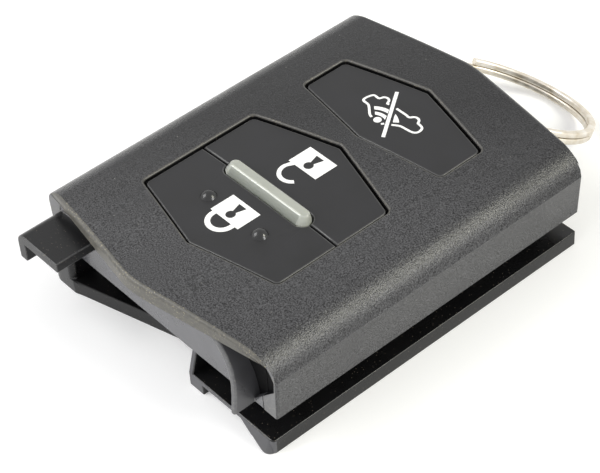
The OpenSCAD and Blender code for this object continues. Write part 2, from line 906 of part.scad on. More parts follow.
module split_ring() {
    n = wire_sides;
    last = wire_stations * n;
    points = [for (i = [0 : wire_stations]) each wire_section(i)];
    sides = [for (i = [0 : wire_stations - 1], k = [0 : n - 1])
        let (a = i * n + k, b = i * n + (k + 1) % n)
        each [[a, a + n, b], [b, a + n, b + n]]];
    start_cap = [for (k = [1 : n - 2]) [0, k, k + 1]];
    end_cap = [for (k = [1 : n - 2]) [last, last + k + 1, last + k]];
    polyhedron(points, concat(sides, start_cap, end_cap));
}

module key_ring() {
    color(silver_color)
    translate([ring_x, ring_near_y, ring_z])
        rotate([-ring_tilt, 0, 0])
            translate([0, ring_r, 0])
                split_ring();
}

upper_case();
lower_case();
lock_button();
unlock_button();
alarm_button();
light_bar();
keypad_mat();
circuit_board();
push_switch(stem_y[0]);  // lock_switch
push_switch(stem_y[1]);  // unlock_switch
push_switch(stem_y[2]);  // alarm_switch
plunger(stem_y[0]);  // lock_plunger
plunger(stem_y[1]);  // unlock_plunger
plunger(stem_y[2]);  // alarm_plunger
status_led();
controller_chip();
radio_chip();
crystal();
resonator();
capacitors();
resistors();
inductors();
coin_cell();
positive_contact();
negative_contact();
ring_pin();
key_ring();
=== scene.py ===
import math
import bmesh
import bpy
from mathutils import Matrix, Vector


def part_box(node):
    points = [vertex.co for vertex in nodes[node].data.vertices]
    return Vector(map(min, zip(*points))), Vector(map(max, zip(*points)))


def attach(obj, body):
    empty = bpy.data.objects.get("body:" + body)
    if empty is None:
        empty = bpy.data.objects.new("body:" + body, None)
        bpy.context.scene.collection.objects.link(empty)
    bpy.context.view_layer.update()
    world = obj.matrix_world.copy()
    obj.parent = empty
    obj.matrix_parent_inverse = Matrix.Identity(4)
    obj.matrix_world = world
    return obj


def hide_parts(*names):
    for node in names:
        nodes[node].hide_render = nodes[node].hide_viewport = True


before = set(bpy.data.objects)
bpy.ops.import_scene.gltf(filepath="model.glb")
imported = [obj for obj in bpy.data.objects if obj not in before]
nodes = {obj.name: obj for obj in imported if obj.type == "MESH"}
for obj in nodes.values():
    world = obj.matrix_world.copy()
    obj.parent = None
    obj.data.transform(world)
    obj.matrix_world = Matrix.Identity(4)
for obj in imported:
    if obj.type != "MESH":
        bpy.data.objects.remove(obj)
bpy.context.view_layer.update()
scene = bpy.context.scene
mm = 0.001  # shapes below are written in millimetres and made metres at the end
print("stage: frame loaded,", len(nodes), "nodes")


def hexColour(code):
    # sRGB hex to the linear values that the shaders take
    parts = [int(code[i:i + 2], 16) / 255 for i in (1, 3, 5)]
    return [p / 12.92 if p <= 0.04045 else ((p + 0.055) / 1.055) ** 2.4 for p in parts] + [1]


def addNode(tree, kind, settings=None, links=None):
    # sockets go by name, or by number where names repeat: a colour Mix has its two colours at 6 and 7
    node = tree.nodes.new(kind)
    for name, value in (settings or {}).items():
        if isinstance(name, int) or name in node.inputs:
            node.inputs[name].default_value = value
        else:
            setattr(node, name, value)
    for name, source in (links or {}).items():
        tree.links.new(source, node.inputs[name])
    return node


def newMaterial(name):
    material = bpy.data.materials.new(name)
    material.use_nodes = True
    material.node_tree.nodes.clear()
    return material, material.node_tree


def perMetre(sizeMm):
    # texture scale that gives features of this size on Object coordinates
    return 1000 / sizeMm


# camera: the photograph's viewpoint, fitted to the corners of the lid and the button openings
cameraSet = dict(
    lens=122.853,
    sensor=36,
    nearest=5,
    eye=(127.58, -101.52, 156.23),
    right=(0.65643, 0.75194, -0.06072),
    up=(-0.48769, 0.48439, 0.72630),
    back=(0.57555, -0.44716, 0.68468),
)
cameraData = bpy.data.cameras.new("camera")
cameraData.lens = cameraSet["lens"]
cameraData.sensor_width = cameraSet["sensor"]
cameraData.clip_start = cameraSet["nearest"] * mm
camera = bpy.data.objects.new("camera", cameraData)
turn = Matrix([cameraSet["right"], cameraSet["up"], cameraSet["back"]]).transposed().to_4x4()
camera.matrix_world = Matrix.Translation(Vector(cameraSet["eye"]) * mm) @ turn
scene.collection.objects.link(camera)
scene.camera = camera
print("stage: camera placed")


# materials
def grainedAbs():
    # ABS moulded in a spark-eroded tool: charcoal, matt, a fine pebble grain that glitters at its tips;
    # the grain is drawn a little coarser than the real one, so that it shows
    look = dict(dark="#0d0d0e", light="#444446", dust="#b0aea8", grainMm=0.15, speckMm=1.5, mottleMm=7,
                bumpMm=0.05, rough=0.25, shine=0.36, paintedLightAxis=(0.75, -0.66, 0), paintedLightReach=0.009,
                ringEnd=0.45, hookEnd=1.45)
    material, tree = newMaterial("grainedAbs")
    place = addNode(tree, "ShaderNodeTexCoord").outputs["Object"]
    grain = addNode(tree, "ShaderNodeTexNoise", {"Scale": perMetre(look["grainMm"]), "Detail": 2.0},
                    {"Vector": place})
    mottle = addNode(tree, "ShaderNodeTexNoise", {"Scale": perMetre(look["mottleMm"]), "Detail": 3.0},
                     {"Vector": place})
    specks = addNode(tree, "ShaderNodeTexVoronoi", {"Scale": perMetre(look["speckMm"])}, {"Vector": place})
    # dust: a speck in the very middle of each cell
    dot = addNode(tree, "ShaderNodeMapRange",
                  {"From Min": 0.045, "From Max": 0.03, "To Min": 0.0, "To Max": 0.45},
                  {"Value": specks.outputs["Distance"]})
    spread = addNode(tree, "ShaderNodeMapRange", {"From Min": 0.36, "From Max": 0.64},
                     {"Value": grain.outputs["Fac"]})
    body = addNode(tree, "ShaderNodeMix",
                   {"data_type": "RGBA", 6: hexColour(look["dark"]), 7: hexColour(look["light"])},
                   {0: spread.outputs[0]})
    # painted light: the colour is scaled up towards the hook end and down towards the ring end, standing in
    # for light that falls brighter at the hook end
    along = addNode(tree, "ShaderNodeVectorMath", {"operation": "DOT_PRODUCT", 1: look["paintedLightAxis"]},
                    {0: place})
    paintedLightScale = addNode(tree, "ShaderNodeMapRange",
                     {"From Min": -look["paintedLightReach"], "From Max": look["paintedLightReach"],
                      "To Min": look["ringEnd"], "To Max": look["hookEnd"]},
                     {"Value": along.outputs["Value"]})
    paintedLitBody = addNode(tree, "ShaderNodeVectorMath", {"operation": "SCALE"},
                    {0: body.outputs[2], "Scale": paintedLightScale.outputs[0]})
    dusted = addNode(tree, "ShaderNodeMix", {"data_type": "RGBA", 7: hexColour(look["dust"])},
                     {0: dot.outputs[0], 6: paintedLitBody.outputs[0]})
    rough = addNode(tree, "ShaderNodeMapRange",
                    {"From Min": 0.3, "From Max": 0.7, "To Min": look["rough"] - 0.05,
                     "To Max": look["rough"] + 0.07},
                    {"Value": mottle.outputs["Fac"]})
    bump = addNode(tree, "ShaderNodeBump", {"Strength": 1.0, "Distance": look["bumpMm"] * mm},
                   {"Height": grain.outputs["Fac"]})
    shader = addNode(tree, "ShaderNodeBsdfPrincipled", {"IOR": 1.53, "Specular IOR Level": look["shine"]},
                     {"Base Color": dusted.outputs[2], "Roughness": rough.outputs[0],
                      "Normal": bump.outputs[0]})
    addNode(tree, "ShaderNodeOutputMaterial", links={"Surface": shader.outputs[0]})
    return material


def glossAbs():
    # ABS moulded in a polished tool: black, glossy, with lint and fine scuffs
    look = dict(black="#111112", dust="#857a6e", flowMm=4, dustMm=0.42, bumpMm=0.1, rough=0.28, shine=0.35)
    material, tree = newMaterial("glossAbs")
    place = addNode(tree, "ShaderNodeTexCoord").outputs["Object"]
    flow = addNode(tree, "ShaderNodeTexNoise", {"Scale": perMetre(look["flowMm"]), "Detail": 4.0},
                   {"Vector": place})
    specks = addNode(tree, "ShaderNodeTexVoronoi", {"Scale": perMetre(look["dustMm"])}, {"Vector": place})
    dot = addNode(tree, "ShaderNodeMapRange",
                  {"From Min": 0.13, "From Max": 0.07, "To Min": 0.0, "To Max": 0.6},
                  {"Value": specks.outputs["Distance"]})
    body = addNode(tree, "ShaderNodeMix",
                   {"data_type": "RGBA", 6: hexColour(look["black"]), 7: hexColour(look["dust"])},
                   {0: dot.outputs[0]})
    rough = addNode(tree, "ShaderNodeMapRange",
                    {"From Min": 0.3, "From Max": 0.7, "To Min": look["rough"] - 0.08,
                     "To Max": look["rough"] + 0.1},
                    {"Value": flow.outputs["Fac"]})
    bump = addNode(tree, "ShaderNodeBump", {"Strength": 0.08, "Distance": look["bumpMm"] * mm},
                   {"Height": flow.outputs["Fac"]})
    shader = addNode(tree, "ShaderNodeBsdfPrincipled", {"IOR": 1.53, "Specular IOR Level": look["shine"]},
                     {"Base Color": body.outputs[2], "Roughness": rough.outputs[0],
                      "Normal": bump.outputs[0]})
    addNode(tree, "ShaderNodeOutputMaterial", links={"Surface": shader.outputs[0]})
    return material


def satinAbs(name, dark, light, roughness, shine=0.5):
    # the same plastic with a fine satin finish: smooth to the touch, faint clouding
    look = dict(cloudMm=3.5, grainMm=0.12, bumpMm=0.01)
    material, tree = newMaterial(name)
    place = addNode(tree, "ShaderNodeTexCoord").outputs["Object"]
    cloud = addNode(tree, "ShaderNodeTexNoise", {"Scale": perMetre(look["cloudMm"]), "Detail": 4.0},
                    {"Vector": place})
    grain = addNode(tree, "ShaderNodeTexNoise", {"Scale": perMetre(look["grainMm"]), "Detail": 1.0},
                    {"Vector": place})
    spread = addNode(tree, "ShaderNodeMapRange", {"From Min": 0.3, "From Max": 0.7},
                     {"Value": cloud.outputs["Fac"]})
    body = addNode(tree, "ShaderNodeMix",
                   {"data_type": "RGBA", 6: hexColour(dark), 7: hexColour(light)},
                   {0: spread.outputs[0]})
    rough = addNode(tree, "ShaderNodeMapRange",
                    {"From Min": 0.3, "From Max": 0.7, "To Min": roughness - 0.04,
                     "To Max": roughness + 0.05},
                    {"Value": cloud.outputs["Fac"]})
    bump = addNode(tree, "ShaderNodeBump", {"Strength": 0.1, "Distance": look["bumpMm"] * mm},
                   {"Height": grain.outputs["Fac"]})
    shader = addNode(tree, "ShaderNodeBsdfPrincipled", {"IOR": 1.53, "Specular IOR Level": shine},
                     {"Base Color": body.outputs[2], "Roughness": rough.outputs[0],
                      "Normal": bump.outputs[0]})
    addNode(tree, "ShaderNodeOutputMaterial", links={"Surface": shader.outputs[0]})
    return material


def wornAndHighlitAbs(name, dark, light, roughness, speck, amount):
    # plastic edges rubbed by a pocket: smoother and paler than the face, with pale grit caught in the nicks;
    # the paleness is partly a painted edge highlight
    look = dict(rubMm=0.4, speckMm=0.2, patchMm=2.6, bumpMm=0.03)
    material, tree = newMaterial(name)
    place = addNode(tree, "ShaderNodeTexCoord").outputs["Object"]
    rub = addNode(tree, "ShaderNodeTexNoise", {"Scale": perMetre(look["rubMm"]), "Detail": 4.0},
                  {"Vector": place})
    patch = addNode(tree, "ShaderNodeTexNoise", {"Scale": perMetre(look["patchMm"]), "Detail": 2.0},
                    {"Vector": place})
    specks = addNode(tree, "ShaderNodeTexNoise", {"Scale": perMetre(look["speckMm"]), "Detail": 1.0},
                     {"Vector": place})
    spread = addNode(tree, "ShaderNodeMapRange", {"From Min": 0.3, "From Max": 0.7},
                     {"Value": rub.outputs["Fac"]})
    body = addNode(tree, "ShaderNodeMix", {"data_type": "RGBA", 6: hexColour(dark), 7: hexColour(light)},
                   {0: spread.outputs[0]})
    dot = addNode(tree, "ShaderNodeMapRange", {"From Min": 0.6, "From Max": 0.72, "To Max": amount},
                  {"Value": specks.outputs["Fac"]})
    where = addNode(tree, "ShaderNodeMapRange", {"From Min": 0.4, "From Max": 0.6},
                    {"Value": patch.outputs["Fac"]})
    gritty = addNode(tree, "ShaderNodeMath", {"operation": "MULTIPLY"},
                     {0: dot.outputs[0], 1: where.outputs[0]})
    dusted = addNode(tree, "ShaderNodeMix", {"data_type": "RGBA", 7: hexColour(speck)},
                     {0: gritty.outputs[0], 6: body.outputs[2]})
    rough = addNode(tree, "ShaderNodeMapRange",
                    {"From Min": 0.3, "From Max": 0.7, "To Min": roughness - 0.05,
                     "To Max": roughness + 0.1},
                    {"Value": rub.outputs["Fac"]})
    bump = addNode(tree, "ShaderNodeBump", {"Strength": 0.3, "Distance": look["bumpMm"] * mm},
                   {"Height": rub.outputs["Fac"]})
    shader = addNode(tree, "ShaderNodeBsdfPrincipled", {"IOR": 1.53},
                     {"Base Color": dusted.outputs[2], "Roughness": rough.outputs[0],
                      "Normal": bump.outputs[0]})
    addNode(tree, "ShaderNodeOutputMaterial", links={"Surface": shader.outputs[0]})
    return material


def twoTone(name, first, second, sizeMm, roughness, metallic=0.0, bumpMm=0.01, ior=1.5):
    # plain finishes, the metals among them: two close tones clouded together, with a fine bump
    material, tree = newMaterial(name)
    place = addNode(tree, "ShaderNodeTexCoord").outputs["Object"]
    cloud = addNode(tree, "ShaderNodeTexNoise", {"Scale": perMetre(sizeMm), "Detail": 4.0}, {"Vector": place})
    spread = addNode(tree, "ShaderNodeMapRange", {"From Min": 0.3, "From Max": 0.7},
                     {"Value": cloud.outputs["Fac"]})
    body = addNode(tree, "ShaderNodeMix",
                   {"data_type": "RGBA", 6: hexColour(first), 7: hexColour(second)}, {0: spread.outputs[0]})
    rough = addNode(tree, "ShaderNodeMapRange",
                    {"From Min": 0.3, "From Max": 0.7, "To Min": roughness - 0.05,
                     "To Max": roughness + 0.08},
                    {"Value": cloud.outputs["Fac"]})
    bump = addNode(tree, "ShaderNodeBump", {"Strength": 0.25, "Distance": bumpMm * mm},
                   {"Height": cloud.outputs["Fac"]})
    shader = addNode(tree, "ShaderNodeBsdfPrincipled", {"IOR": ior, "Metallic": metallic},
                     {"Base Color": body.outputs[2], "Roughness": rough.outputs[0],
                      "Normal": bump.outputs[0]})
    addNode(tree, "ShaderNodeOutputMaterial", links={"Surface": shader.outputs[0]})
    return material


def lightGuide(name, milk, deep):
    # frosted polycarbonate: milky grey-green and faintly clouded, with light spreading under a satin skin
    look = dict(cloudMm=2.2, glowMm=(1.2, 1.2, 1.0))  # light spreads this far inside it
    material, tree = newMaterial(name)
    place = addNode(tree, "ShaderNodeTexCoord").outputs["Object"]
    cloud = addNode(tree, "ShaderNodeTexNoise", {"Scale": perMetre(look["cloudMm"]), "Detail": 3.0},
                    {"Vector": place})
    body = addNode(tree, "ShaderNodeMix",
                   {"data_type": "RGBA", 6: hexColour(deep), 7: hexColour(milk)},
                   {0: cloud.outputs["Fac"]})
    shader = addNode(tree, "ShaderNodeBsdfPrincipled",
                     {"IOR": 1.58, "Roughness": 0.3, "Subsurface Weight": 0.6,
                      "Subsurface Radius": [reach * mm for reach in look["glowMm"]], "Subsurface Scale": 1.0},
                     {"Base Color": body.outputs[2]})
    addNode(tree, "ShaderNodeOutputMaterial", links={"Surface": shader.outputs[0]})
    return material


grained = grainedAbs()
gloss = glossAbs()
wallSatinPaintedLit = satinAbs("satinPaintedLitAbs", "#464649", "#515155", 0.4)  # walls at the hook end, half dull, painted paler as if lit from the front
frontSatinPaintedReflection = satinAbs("satinFrontPaintedReflectionAbs", "#4a4a4d", "#555559", 0.24, 1.0)  # near wall, glossy, and painted paler for the pale table that it reflects
flapPaintedSheen = satinAbs("paintedSheenFlapAbs", "#444447", "#4f4f52", 0.3, 0.6)  # the flap's curve, painted paler as a soft sheen
buttonSatin = satinAbs("satinGreyAbs", "#242425", "#29292b", 0.46, 0.3)  # button faces, smooth and dull
dotGloss = satinAbs("polishedGreyAbs", "#1a1a1b", "#1f1f20", 0.24, 0.5)  # touch dots, polished by thumbs
paintedShadeBlack = satinAbs("paintedShadeBlackAbs", "#0c0c0d", "#101011", 0.6, 0.1)  # painted shade in hollows, no shine
wornHighlitLip = wornAndHighlitAbs("rubbedHighlitGrainedAbs", "#42413e", "#5b5952", 0.42, "#bdb196", 0.5)  # near lip, the most grit, painted paler as its edge highlight
wornHighlitRim = wornAndHighlitAbs("rubbedHighlitRimAbs", "#3a3937", "#4c4a46", 0.34, "#a49a84", 0.35)  # rims of the openings, painted paler as a highlight line
wornHighlitGloss = wornAndHighlitAbs("rubbedHighlitGlossAbs", "#2c2c2d", "#3f3f40", 0.3, "#a39a86", 0.45)  # edges of the base, painted paler as a highlight line
wornHighlitCap = wornAndHighlitAbs("rubbedHighlitSatinAbs", "#3c3c3d", "#484848", 0.3, "#8d8a84", 0.2)  # edges of the buttons, painted paler as a highlight line
wornHighlitFlap = wornAndHighlitAbs("rubbedHighlitFlapAbs", "#58585a", "#6a6a6b", 0.34, "#b4ab98", 0.3)  # the flap's edge, the palest, painted paler as a highlight line
guide = lightGuide("frostedPolycarbonate", "#b0b2aa", "#9b9e97")
guidePaintedShade = lightGuide("frostedPolycarbonatePaintedShade", "#979a92", "#868a82")  # painted darker as shade, seen into the case
ridge = twoTone("polishedPolycarbonatePaintedHighlight", "#bcbfb6", "#cccec6", 0.8, 0.16, ior=1.58)  # polished, and painted paler as a crisp highlight
ink = twoTone("padPrintInk", "#f2f2f0", "#fbfbfa", 0.8, 0.5)  # printed film, flat white
silicone = twoTone("greySilicone", "#6b6d70", "#74767a", 2.0, 0.6)  # matt rubber
boardMask = twoTone("greenSolderMask", "#1f5a38", "#2a6b45", 1.2, 0.35)  # lacquer, half glossy
tinned = twoTone("tinnedSteel", "#c8c8c6", "#d8d8d6", 1.5, 0.32, metallic=1.0)  # bright, faintly clouded
acetal = twoTone("creamAcetal", "#d8d0bb", "#e0d9c6", 1.0, 0.45)  # waxy
lampResin = twoTone("yellowLampResin", "#efe6b4", "#f4eec8", 0.5, 0.2)  # glassy pale yellow
chipEpoxy = twoTone("chipEpoxy", "#26262a", "#303034", 0.3, 0.6)  # dull black
ceramicBody = twoTone("brownCeramic", "#b8a27c", "#c4b08c", 0.4, 0.5)  # matt, fired
# plated wire: warm and bright, rubbed dull in places
ringSteel = twoTone("nickelSteelWire", "#cfc4b0", "#e8e4dc", 1.2, 0.4, metallic=1.0, bumpMm=0.02)
print("stage: materials made")


# shape helpers
def useOnly(piece):
    if bpy.context.mode != "OBJECT":
        bpy.ops.object.mode_set(mode="OBJECT")
    bpy.ops.object.select_all(action="DESELECT")
    piece.select_set(True)
    bpy.context.view_layer.objects.active = piece


def inside(spot, zone):
    # zone gives the lowest and highest x, y and z
    return all(low < value < high for value, (low, high) in zip(spot, zone))


def copyOfNode(nodeName, pieceName, materials):
    # the node's own mesh in millimetres, its triangles joined and its flat parts made whole again
    piece = bpy.data.objects.new(pieceName, nodes[nodeName].data.copy())
    scene.collection.objects.link(piece)
    piece.data.materials.clear()
    for material in materials:
        piece.data.materials.append(material)
    piece.data.transform(Matrix.Scale(1 / mm, 4))
    useOnly(piece)
    bpy.ops.mesh.customdata_custom_splitnormals_clear()
    bpy.ops.object.mode_set(mode="EDIT")
    bpy.ops.mesh.select_all(action="SELECT")
    bpy.ops.mesh.remove_doubles(threshold=0.002)
    bpy.ops.mesh.dissolve_limited(angle_limit=math.radians(0.05))
    bpy.ops.object.mode_set(mode="OBJECT")
    return piece


def softenEdges(piece, widest, rule, wornAndHighlit, segments=3, sharpest=30):
    # rule gives each sharp edge its own rounding, and the rounded faces take the number of the worn material
    # that is painted paler as an edge highlight
    shape = bmesh.new()
    shape.from_mesh(piece.data)
    layer = shape.edges.layers.float.new("bevel_weight_edge")
    for edge in shape.edges:
        if len(edge.link_faces) == 2 and edge.calc_face_angle() > math.radians(sharpest):
            middle = (edge.verts[0].co + edge.verts[1].co) / 2
            edge[layer] = rule(middle, edge.link_faces[0].normal, edge.link_faces[1].normal) / widest
    shape.to_mesh(piece.data)
    shape.free()
    rounding = piece.modifiers.new("edges", "BEVEL")
    rounding.limit_method = "WEIGHT"
    rounding.width = widest
    rounding.segments = segments
    rounding.material = wornAndHighlit
    rounding.use_clamp_overlap = False
    rounding.loop_slide = False
    useOnly(piece)
    bpy.ops.object.modifier_apply(modifier="edges")


def finishPiece(piece, body, replaced=(), smooth=35, flatFaces=False):
    useOnly(piece)
    piece.data.transform(Matrix.Scale(mm, 4))
    bpy.ops.object.shade_smooth_by_angle(angle=math.radians(smooth))
    if flatFaces:
        # large faces keep their own shading next to rounded edges
        normals = piece.modifiers.new("normals", "WEIGHTED_NORMAL")
        normals.keep_sharp = True
        bpy.ops.object.modifier_apply(modifier="normals")
    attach(piece, body)
    if replaced:
        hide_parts(*replaced)


# lid with its soft lips: each lip is rounded as far as its height allows
caseSet = dict(
    nearLip=0.48, nearShare=0.27,  # rounding of the near lip: the most, and its share of the lip's height
    farLip=0.85, farShare=0.5,
    corner=0.3, rim=0.22, low=0.12,  # upright corners, rims of the openings, lower edges
    lidZ=11.8, footZ=4.6, endY=21.5, sideX=18.5, scuffX=13,
    dip=((9, 99), (-21.45, -20.65), (5, 99)),  # the hollow beside the flap, painted in shade
    creaseX=18.9, creaseZ=10.03,  # the fold along each side wall
)
caseFinish = [grained, wornHighlitRim, wornHighlitLip, gloss, paintedShadeBlack, wornHighlitFlap]
case = copyOfNode("upper_case", "case_shell", caseFinish)


def caseEdge(middle, one, two):
    room = middle.z - caseSet["lidZ"]
    atEnd = abs(middle.y) > caseSet["endY"] - 1
    onSide = abs(middle.x) > caseSet["sideX"] - 0.1
    if room > 0.1 and atEnd and max(abs(one.y), abs(two.y)) > 0.8:  # a lip
        if middle.y < 0:
            return min(caseSet["nearLip"], caseSet["nearShare"] * room)
        return min(caseSet["farLip"], caseSet["farShare"] * room)
    if room > 0.4:
        return caseSet["rim"]
    if onSide and abs(middle.y) > caseSet["endY"] - 0.1 and room < -1.5:
        return caseSet["corner"]
    if onSide and middle.z < caseSet["footZ"] + 0.1:
        return caseSet["low"]
    return 0


softenEdges(case, caseSet["farLip"], caseEdge, caseFinish.index(wornHighlitRim), segments=4)
finishPiece(case, "case", ["upper_case"], flatFaces=True)
for face in case.data.polygons:
    spot = face.center / mm
    behind = spot.y + caseSet["endY"]  # how far the face lies behind the near end
    above = spot.z - caseSet["lidZ"]
    frontal = face.normal.y < -0.8
    finish = caseFinish[face.material_index]
    if finish == wornHighlitRim:
        if behind < 0.8 and above > -0.1:
            finish = wornHighlitLip
        elif spot.y > caseSet["endY"] - 2 or above < 0:
            finish = grained
    elif above > -0.2 and abs(face.normal.z) < 0.3 and abs(spot.y) < caseSet["endY"] - 1.5:
        finish = gloss  # inside of the button openings
    elif inside(spot, caseSet["dip"]):
        # painted shade in the hollow beside the flap
        finish = paintedShadeBlack
    elif frontal and behind < -0.05 and above > -0.3:
        finish = wornHighlitLip  # front of the near lip, painted paler as if lit
    elif frontal and behind < 0.3 and abs(spot.x) > caseSet["scuffX"]:
        finish = wornHighlitFlap  # the end face is scuffed at its corners and painted paler there as if lit from the front
    face.material_index = caseFinish.index(finish)
for edge in case.data.edges:
    ends = [case.data.vertices[i].co / mm for i in edge.vertices]
    if all(abs(abs(end.x) - caseSet["creaseX"]) < 0.05 and abs(end.z - caseSet["creaseZ"]) < 0.2
           for end in ends):
        edge.use_edge_sharp = True
print("stage: lid shaped,", len(case.data.polygons), "faces")

# base with hooks, posts and the near wall
baseSet = dict(
    edge=0.14, flapEdge=0.3, nearY=-21.6, rimX=18, rimY=20.8, rimZ=5, plateZ=2.2,
    hookX=-16.4, hookTop=10.1, hookBend=0.6,  # the hook as its solid has it
    newBend=1.3, hookOut=0.7,  # its wider bend, and how far its leg moves out
    zones=dict(  # lowest and highest x, y and z, where 99 is beyond the part
        hookLeg=((-16.45, -15.15), (-99, -21.45), (6, 10.15)),
        hook=((-99, -8), (-99, -20.5), (5, 99)),
        toeCorner=((16, 99), (-99, -20), (-99, 1.9)),
        toe=((13, 99), (-99, -21.4), (-99, 1.85)),
        flapFront=((7, 99), (-99, -21.6), (4.7, 99)),
        flap=((4, 99), (-99, -20.65), (4.6, 99)),
        dipFloor=((9, 99), (-21.3, -20.5), (4.7, 99)),
        notch=((-16, 5), (-22.28, 99), (-99, 5)),
        frontWall=((-99, 99), (-22, -21), (4.5, 99)),
        rightFront=((-1, 99), (-99, -21.3), (-99, 99)),
    ),
)
zones = baseSet["zones"]
baseFinish = [gloss, wornHighlitGloss, wallSatinPaintedLit, wornHighlitFlap, paintedShadeBlack, frontSatinPaintedReflection, flapPaintedSheen]
base = copyOfNode("lower_case", "base_shell", baseFinish)
# the hook's leg stands a little further out and bends over in a wider curve
bendX = baseSet["hookX"] + baseSet["hookBend"]
bendZ = baseSet["hookTop"] - baseSet["hookBend"]
share = baseSet["newBend"] / baseSet["hookBend"]
for vert in base.data.vertices:
    spot = vert.co
    if inside(spot, zones["hookLeg"]):
        if spot.z > bendZ - 0.01 and spot.x < bendX + 0.01:
            spot.x = baseSet["hookX"] - baseSet["hookOut"] + baseSet["newBend"] + (spot.x - bendX) * share
            spot.z = baseSet["hookTop"] - baseSet["newBend"] + (spot.z - bendZ) * share
        else:
            spot.x -= baseSet["hookOut"]


def baseEdge(middle, one, two):
    upright = max(abs(one.z), abs(two.z)) < 0.3
    onRim = abs(middle.x) > baseSet["rimX"] or abs(middle.y) > baseSet["rimY"]
    if upright and inside(middle, zones["toeCorner"]):
        return 0  # already round
    if inside(middle, zones["hook"]):
        return baseSet["edge"]
    if min(one.y, two.y) < -0.7 and inside(middle, zones["flapFront"]):
        return baseSet["flapEdge"]
    if inside(middle, zones["notch"]):
        return 0
    if middle.z < baseSet["rimZ"] and onRim or middle.y < baseSet["nearY"]:
        return baseSet["edge"]
    return 0


softenEdges(base, baseSet["flapEdge"], baseEdge, baseFinish.index(wornHighlitGloss))
finishPiece(base, "case", ["lower_case"], flatFaces=True)
for face in base.data.polygons:
    spot = face.center / mm
    facing = face.normal
    inZone = {name: inside(spot, zone) for name, zone in zones.items()}
    finish = baseFinish[face.material_index]
    if inZone["dipFloor"] and facing.y < -0.8:
        # painted shade on the hollow's floor
        finish = paintedShadeBlack
    elif finish == wornHighlitGloss and abs(spot.x) > baseSet["rimX"] and spot.z < baseSet["plateZ"]:
        finish = gloss  # the plate's long edges aren't rubbed and get no painted highlight
    elif finish == wornHighlitGloss and inZone["flap"]:
        finish = wornHighlitFlap
    elif finish == gloss:
        if inZone["flap"] and facing.x > 0.2 and facing.y > -0.7:
            finish = flapPaintedSheen  # the flap's curved face, painted paler as a sheen
        elif inZone["frontWall"] and facing.y < -0.9:
            # painted reflection: the near wall is drawn paler
            finish = frontSatinPaintedReflection
        elif inZone["flap"] or inZone["toe"] or inZone["rightFront"] and facing.y < -0.7:
            # the flap, toe and right front are painted paler as if lit from the front
            finish = wallSatinPaintedLit
    face.material_index = baseFinish.index(finish)
print("stage: base shaped,", len(base.data.polygons), "faces")

# buttons
buttonSet = dict(edge=0.18, topZ=12.5, dotX=4.15, dotY=-10.8, dotR=1.0, dotFoot=13.16, dotRise=1.45)
buttonFinish = [buttonSatin, wornHighlitCap, dotGloss]


def onDot(spot):
    # one of the lock button's two touch dots
    away = math.hypot(abs(spot.x) - buttonSet["dotX"], spot.y - buttonSet["dotY"])
    return away < buttonSet["dotR"]


def buttonEdge(middle, one, two):
    onRim = middle.z > buttonSet["topZ"] and min(abs(one.z), abs(two.z)) < 0.3
    return buttonSet["edge"] if onRim else 0


for name in ("lock", "unlock", "alarm"):
    cap = copyOfNode(name + "_button", name + "_cap", buttonFinish)
    hasDots = name == "lock"
    for vert in cap.data.vertices:
        rise = vert.co.z - buttonSet["dotFoot"]
        if hasDots and onDot(vert.co) and rise > 0.02:
            vert.co.z += rise * (buttonSet["dotRise"] - 1)  # fuller domes than the solids carry
    softenEdges(cap, buttonSet["edge"], buttonEdge, buttonFinish.index(wornHighlitCap))
    finishPiece(cap, name + "_key", [name + "_button"], flatFaces=True)
    for face in cap.data.polygons:
        spot = face.center / mm
        if hasDots and onDot(spot) and spot.z > buttonSet["dotFoot"] - 0.06:
            face.material_index = buttonFinish.index(dotGloss)
print("stage: buttons shaped")

# light bar: sloped towards the near side, with a crisp ridge along its top
barSet = dict(seat=13.1, topZ=13.4, ridgeZ=13.3, nearSlope=0.72, farSlope=0.15, ridge=0.12, reach=5.475)
barFinish = [guide, ridge, guidePaintedShade]
bar = copyOfNode("light_bar", "bar_guide", barFinish)
barLow, barHigh = (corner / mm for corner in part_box("light_bar"))
barY = (barLow.y + barHigh.y) / 2
bpy.ops.object.mode_set(mode="EDIT")
bpy.ops.mesh.select_all(action="SELECT")
bpy.ops.mesh.bisect(plane_co=(0, 0, barSet["seat"]), plane_no=(0, 0, 1), threshold=0.0001)
bpy.ops.object.mode_set(mode="OBJECT")
for vert in bar.data.vertices:
    if vert.co.z > barSet["topZ"]:
        spine = Vector((max(-barSet["reach"], min(barSet["reach"], vert.co.x)), barY, vert.co.z))
        outward = (vert.co - spine).normalized()
        share = (1 - outward.y) / 2
        vert.co -= outward * (barSet["farSlope"] + (barSet["nearSlope"] - barSet["farSlope"]) * share)


def barEdge(middle, one, two):
    return barSet["ridge"] if middle.z > barSet["ridgeZ"] else 0


softenEdges(bar, barSet["ridge"], barEdge, barFinish.index(ridge), sharpest=20)
finishPiece(bar, "case", ["light_bar"], smooth=50, flatFaces=True)
for face in bar.data.polygons:
    spot = face.center / mm
    finish = barFinish[face.material_index]
    # the painted ridge highlight stays on the near straight part of the ridge
    if abs(spot.x) > barSet["reach"] or spot.y > barY:
        finish = guide
    elif finish == guide and face.normal.y < -0.5:
        finish = guidePaintedShade  # painted shade: its near side is drawn darker, down into the case
    face.material_index = barFinish.index(finish)
print("stage: light bar shaped")

